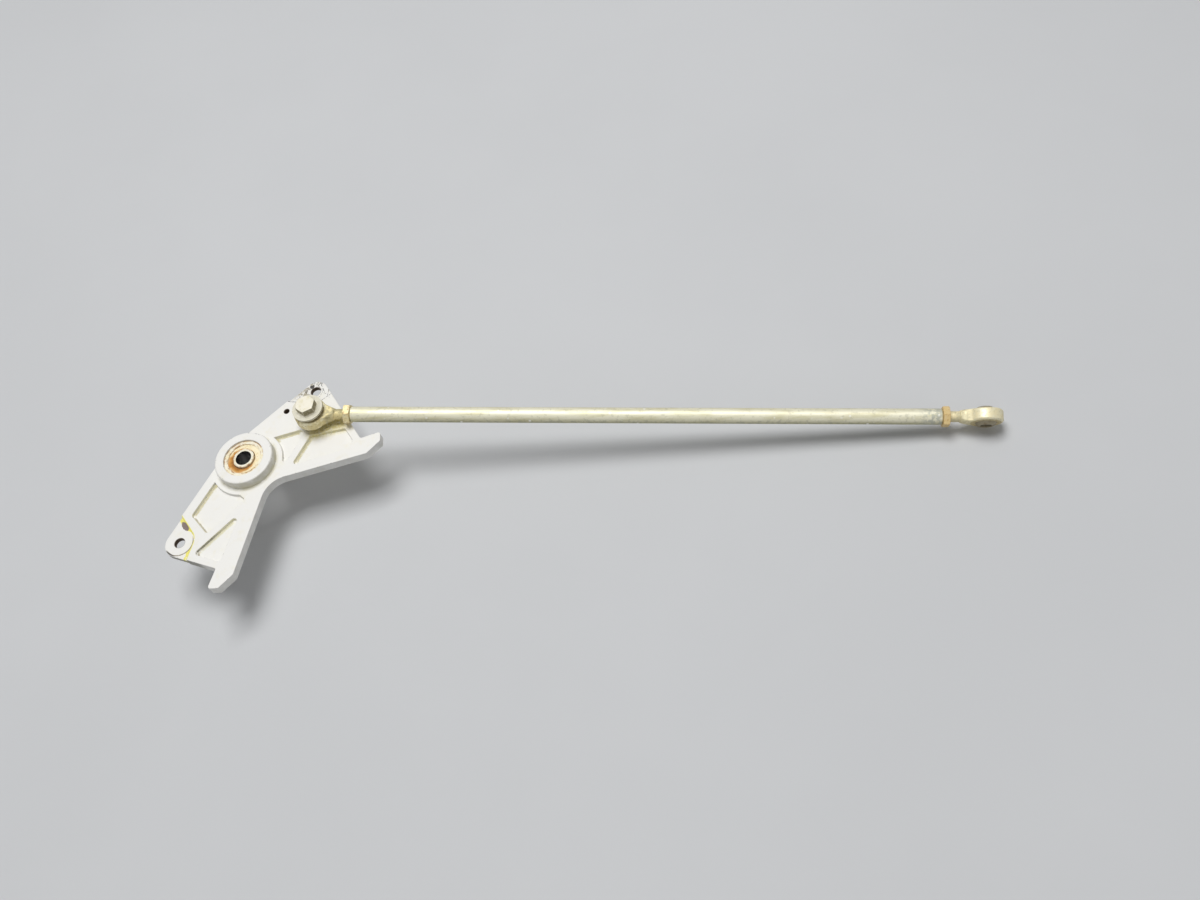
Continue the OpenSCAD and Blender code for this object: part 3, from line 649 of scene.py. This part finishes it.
# Far rod end
# The same swivel rod end at the other end of the tube, with its own staked race and ball. It
# is turned so that its eye stands nearly on edge.

far_yellow = (0.86, 0.77, 0.50)
far_plating = grimy_plating("far_grimy_plating", far_yellow, 0.4, far_eye, far_axis, -rod_way)
eased("far_rod_end", 0.3 * mm, far_plating)
eased("far_race", 0.1 * mm, race_steel)
eased("far_ball", 0.2 * mm, ball_steel)
thread("far_thread", far_eye, -rod_way, far_plating)


# Rod bolt
# A drilled-shank bolt, a large cover washer and a spacer clamp the swivel ball to the arm,
# with a castle nut and a cotter pin below. All are plated steel.

plated = Finish("dull_plated_steel", (0.78, 0.74, 0.62), 0.46, 0.35)
yellow_tinge = (0.70, 0.65, 0.47)
washer_grey = (0.56, 0.54, 0.45)
facet_shade_stain = (0.24, 0.20, 0.09)
head_ring_shade = (0.46, 0.43, 0.33)
worn_edge = (0.82, 0.77, 0.60)
plated.layer(plated.band(plated.clouds(3 * mm), 0.45, 0.7), yellow_tinge, 0.45)
bolt_away = plated.from_axis(Vector(joints["rod_swing"]["pos_m"]), up)[0]
upright = plated.band(plated.calc("ABSOLUTE", plated.towards(up)), 0.7, 0.3)
past_head = plated.band(bolt_away, 6.5 * mm, 6.9 * mm)
plated.layer(plated.both(past_head, 0.55), washer_grey, 0.5)
# painted shade with stain: the upright faces are darker than the tops, most of all on the head
shaded_facets = plated.both(upright, plated.band(plated.clouds(1.5 * mm), 0.2, 0.5),
                      plated.mix(past_head, 0.9, 0.3))
plated.layer(shaded_facets, facet_shade_stain, 0.6, 0.2)
# grime and painted shade in a ring round the foot of the head
round_head_shade = plated.both(plated.near(bolt_away, 7.2 * mm, 2 * mm),
                         plated.band(plated.clouds(2.5 * mm), 0.35, 0.6))
plated.layer(plated.both(round_head_shade, 0.4), head_ring_shade, 0.55)
plated.layer(plated.both(plated.marked("edge"), 0.5), worn_edge, 0.35)
plated_steel = plated.done(plated.clouds(0.8 * mm), 0.02 * mm)
for node in ("rod_bolt", "cover_washer", "spacer", "nut_washer"):
    eased(node, 0.2 * mm, plated_steel)
eased("castle_nut", 0.15 * mm, nut_gold)
eased("cotter_pin", 0.05 * mm, bearing_steel)


# Floor, light and camera
# A pale floor just under the far eye, a large soft lamp overhead, a weak one on the camera's
# side, and the camera where the photograph was taken from.

floor_gap = 0.3 * mm
floor_shade = (0.60, 0.61, 0.62)
floor_mesh = bmesh.new()
bmesh.ops.create_grid(floor_mesh, x_segments=1, y_segments=1, size=4)
bmesh.ops.translate(floor_mesh, verts=floor_mesh.verts, vec=(0, 0, cad_low.z - floor_gap))
floor_data = bpy.data.meshes.new("floor")
floor_mesh.to_mesh(floor_data)
floor_mesh.free()
floor = bpy.data.objects.new("floor", floor_data)
bpy.context.scene.collection.objects.link(floor)
pale = Finish("pale_floor", (0.62, 0.63, 0.64), 0.85)
pale.layer(pale.band(pale.clouds(300 * mm), 0.3, 0.7), floor_shade)
floor_data.materials.append(pale.done(pale.clouds(4 * mm), 0.05 * mm))


def lamp(name, at, aim, size, watts):
    """A square lamp of this size, turned towards its aim."""
    light = bpy.data.lights.new(name, "AREA")
    light.size = size
    light.energy = watts
    made = bpy.data.objects.new(name, light)
    made.location = at
    made.rotation_euler = (Vector(aim) - Vector(at)).to_track_quat("-Z", "Y").to_euler()
    bpy.context.scene.collection.objects.link(made)


middle = (0.2, 0.0, 0.0)
lamp("key", (0.0, 0.35, 2.2), middle, 1.1, 38.0)
lamp("fill", (0.7, -1.2, 1.1), middle, 1.2, 2.0)

world = bpy.data.worlds.new("studio")
bpy.context.scene.world = world
world.use_nodes = True
world_nodes = world.node_tree.nodes
world_links = world.node_tree.links
paths = world_nodes.new("ShaderNodeLightPath")
seen = world_nodes.new("ShaderNodeMath")
seen.operation = "MAXIMUM"
world_links.new(paths.outputs["Is Camera Ray"], seen.inputs[0])
world_links.new(paths.outputs["Is Glossy Ray"], seen.inputs[1])
sky = world_nodes.new("ShaderNodeMix")
sky.data_type = "RGBA"
dim_grey = (0.22, 0.22, 0.225, 1)
pale_grey = (0.72, 0.73, 0.74, 1)
sky.inputs[6].default_value = dim_grey
sky.inputs[7].default_value = pale_grey
world_links.new(seen.outputs[0], sky.inputs[0])
world_links.new(sky.outputs[2], world_nodes["Background"].inputs["Color"])

camera = bpy.data.objects.new("camera", bpy.data.cameras.new("camera"))
camera.data.lens = 35.7
camera.data.sensor_width = 36
camera.data.clip_start = 0.01
camera.location = (0.33456, -0.36242, 0.58403)
camera_turn = (31.846, 9.430, 2.878)
camera.rotation_euler = [math.radians(a) for a in camera_turn]
bpy.context.scene.collection.objects.link(camera)
bpy.context.scene.camera = camera
bpy.context.scene.view_settings.view_transform = "Standard"
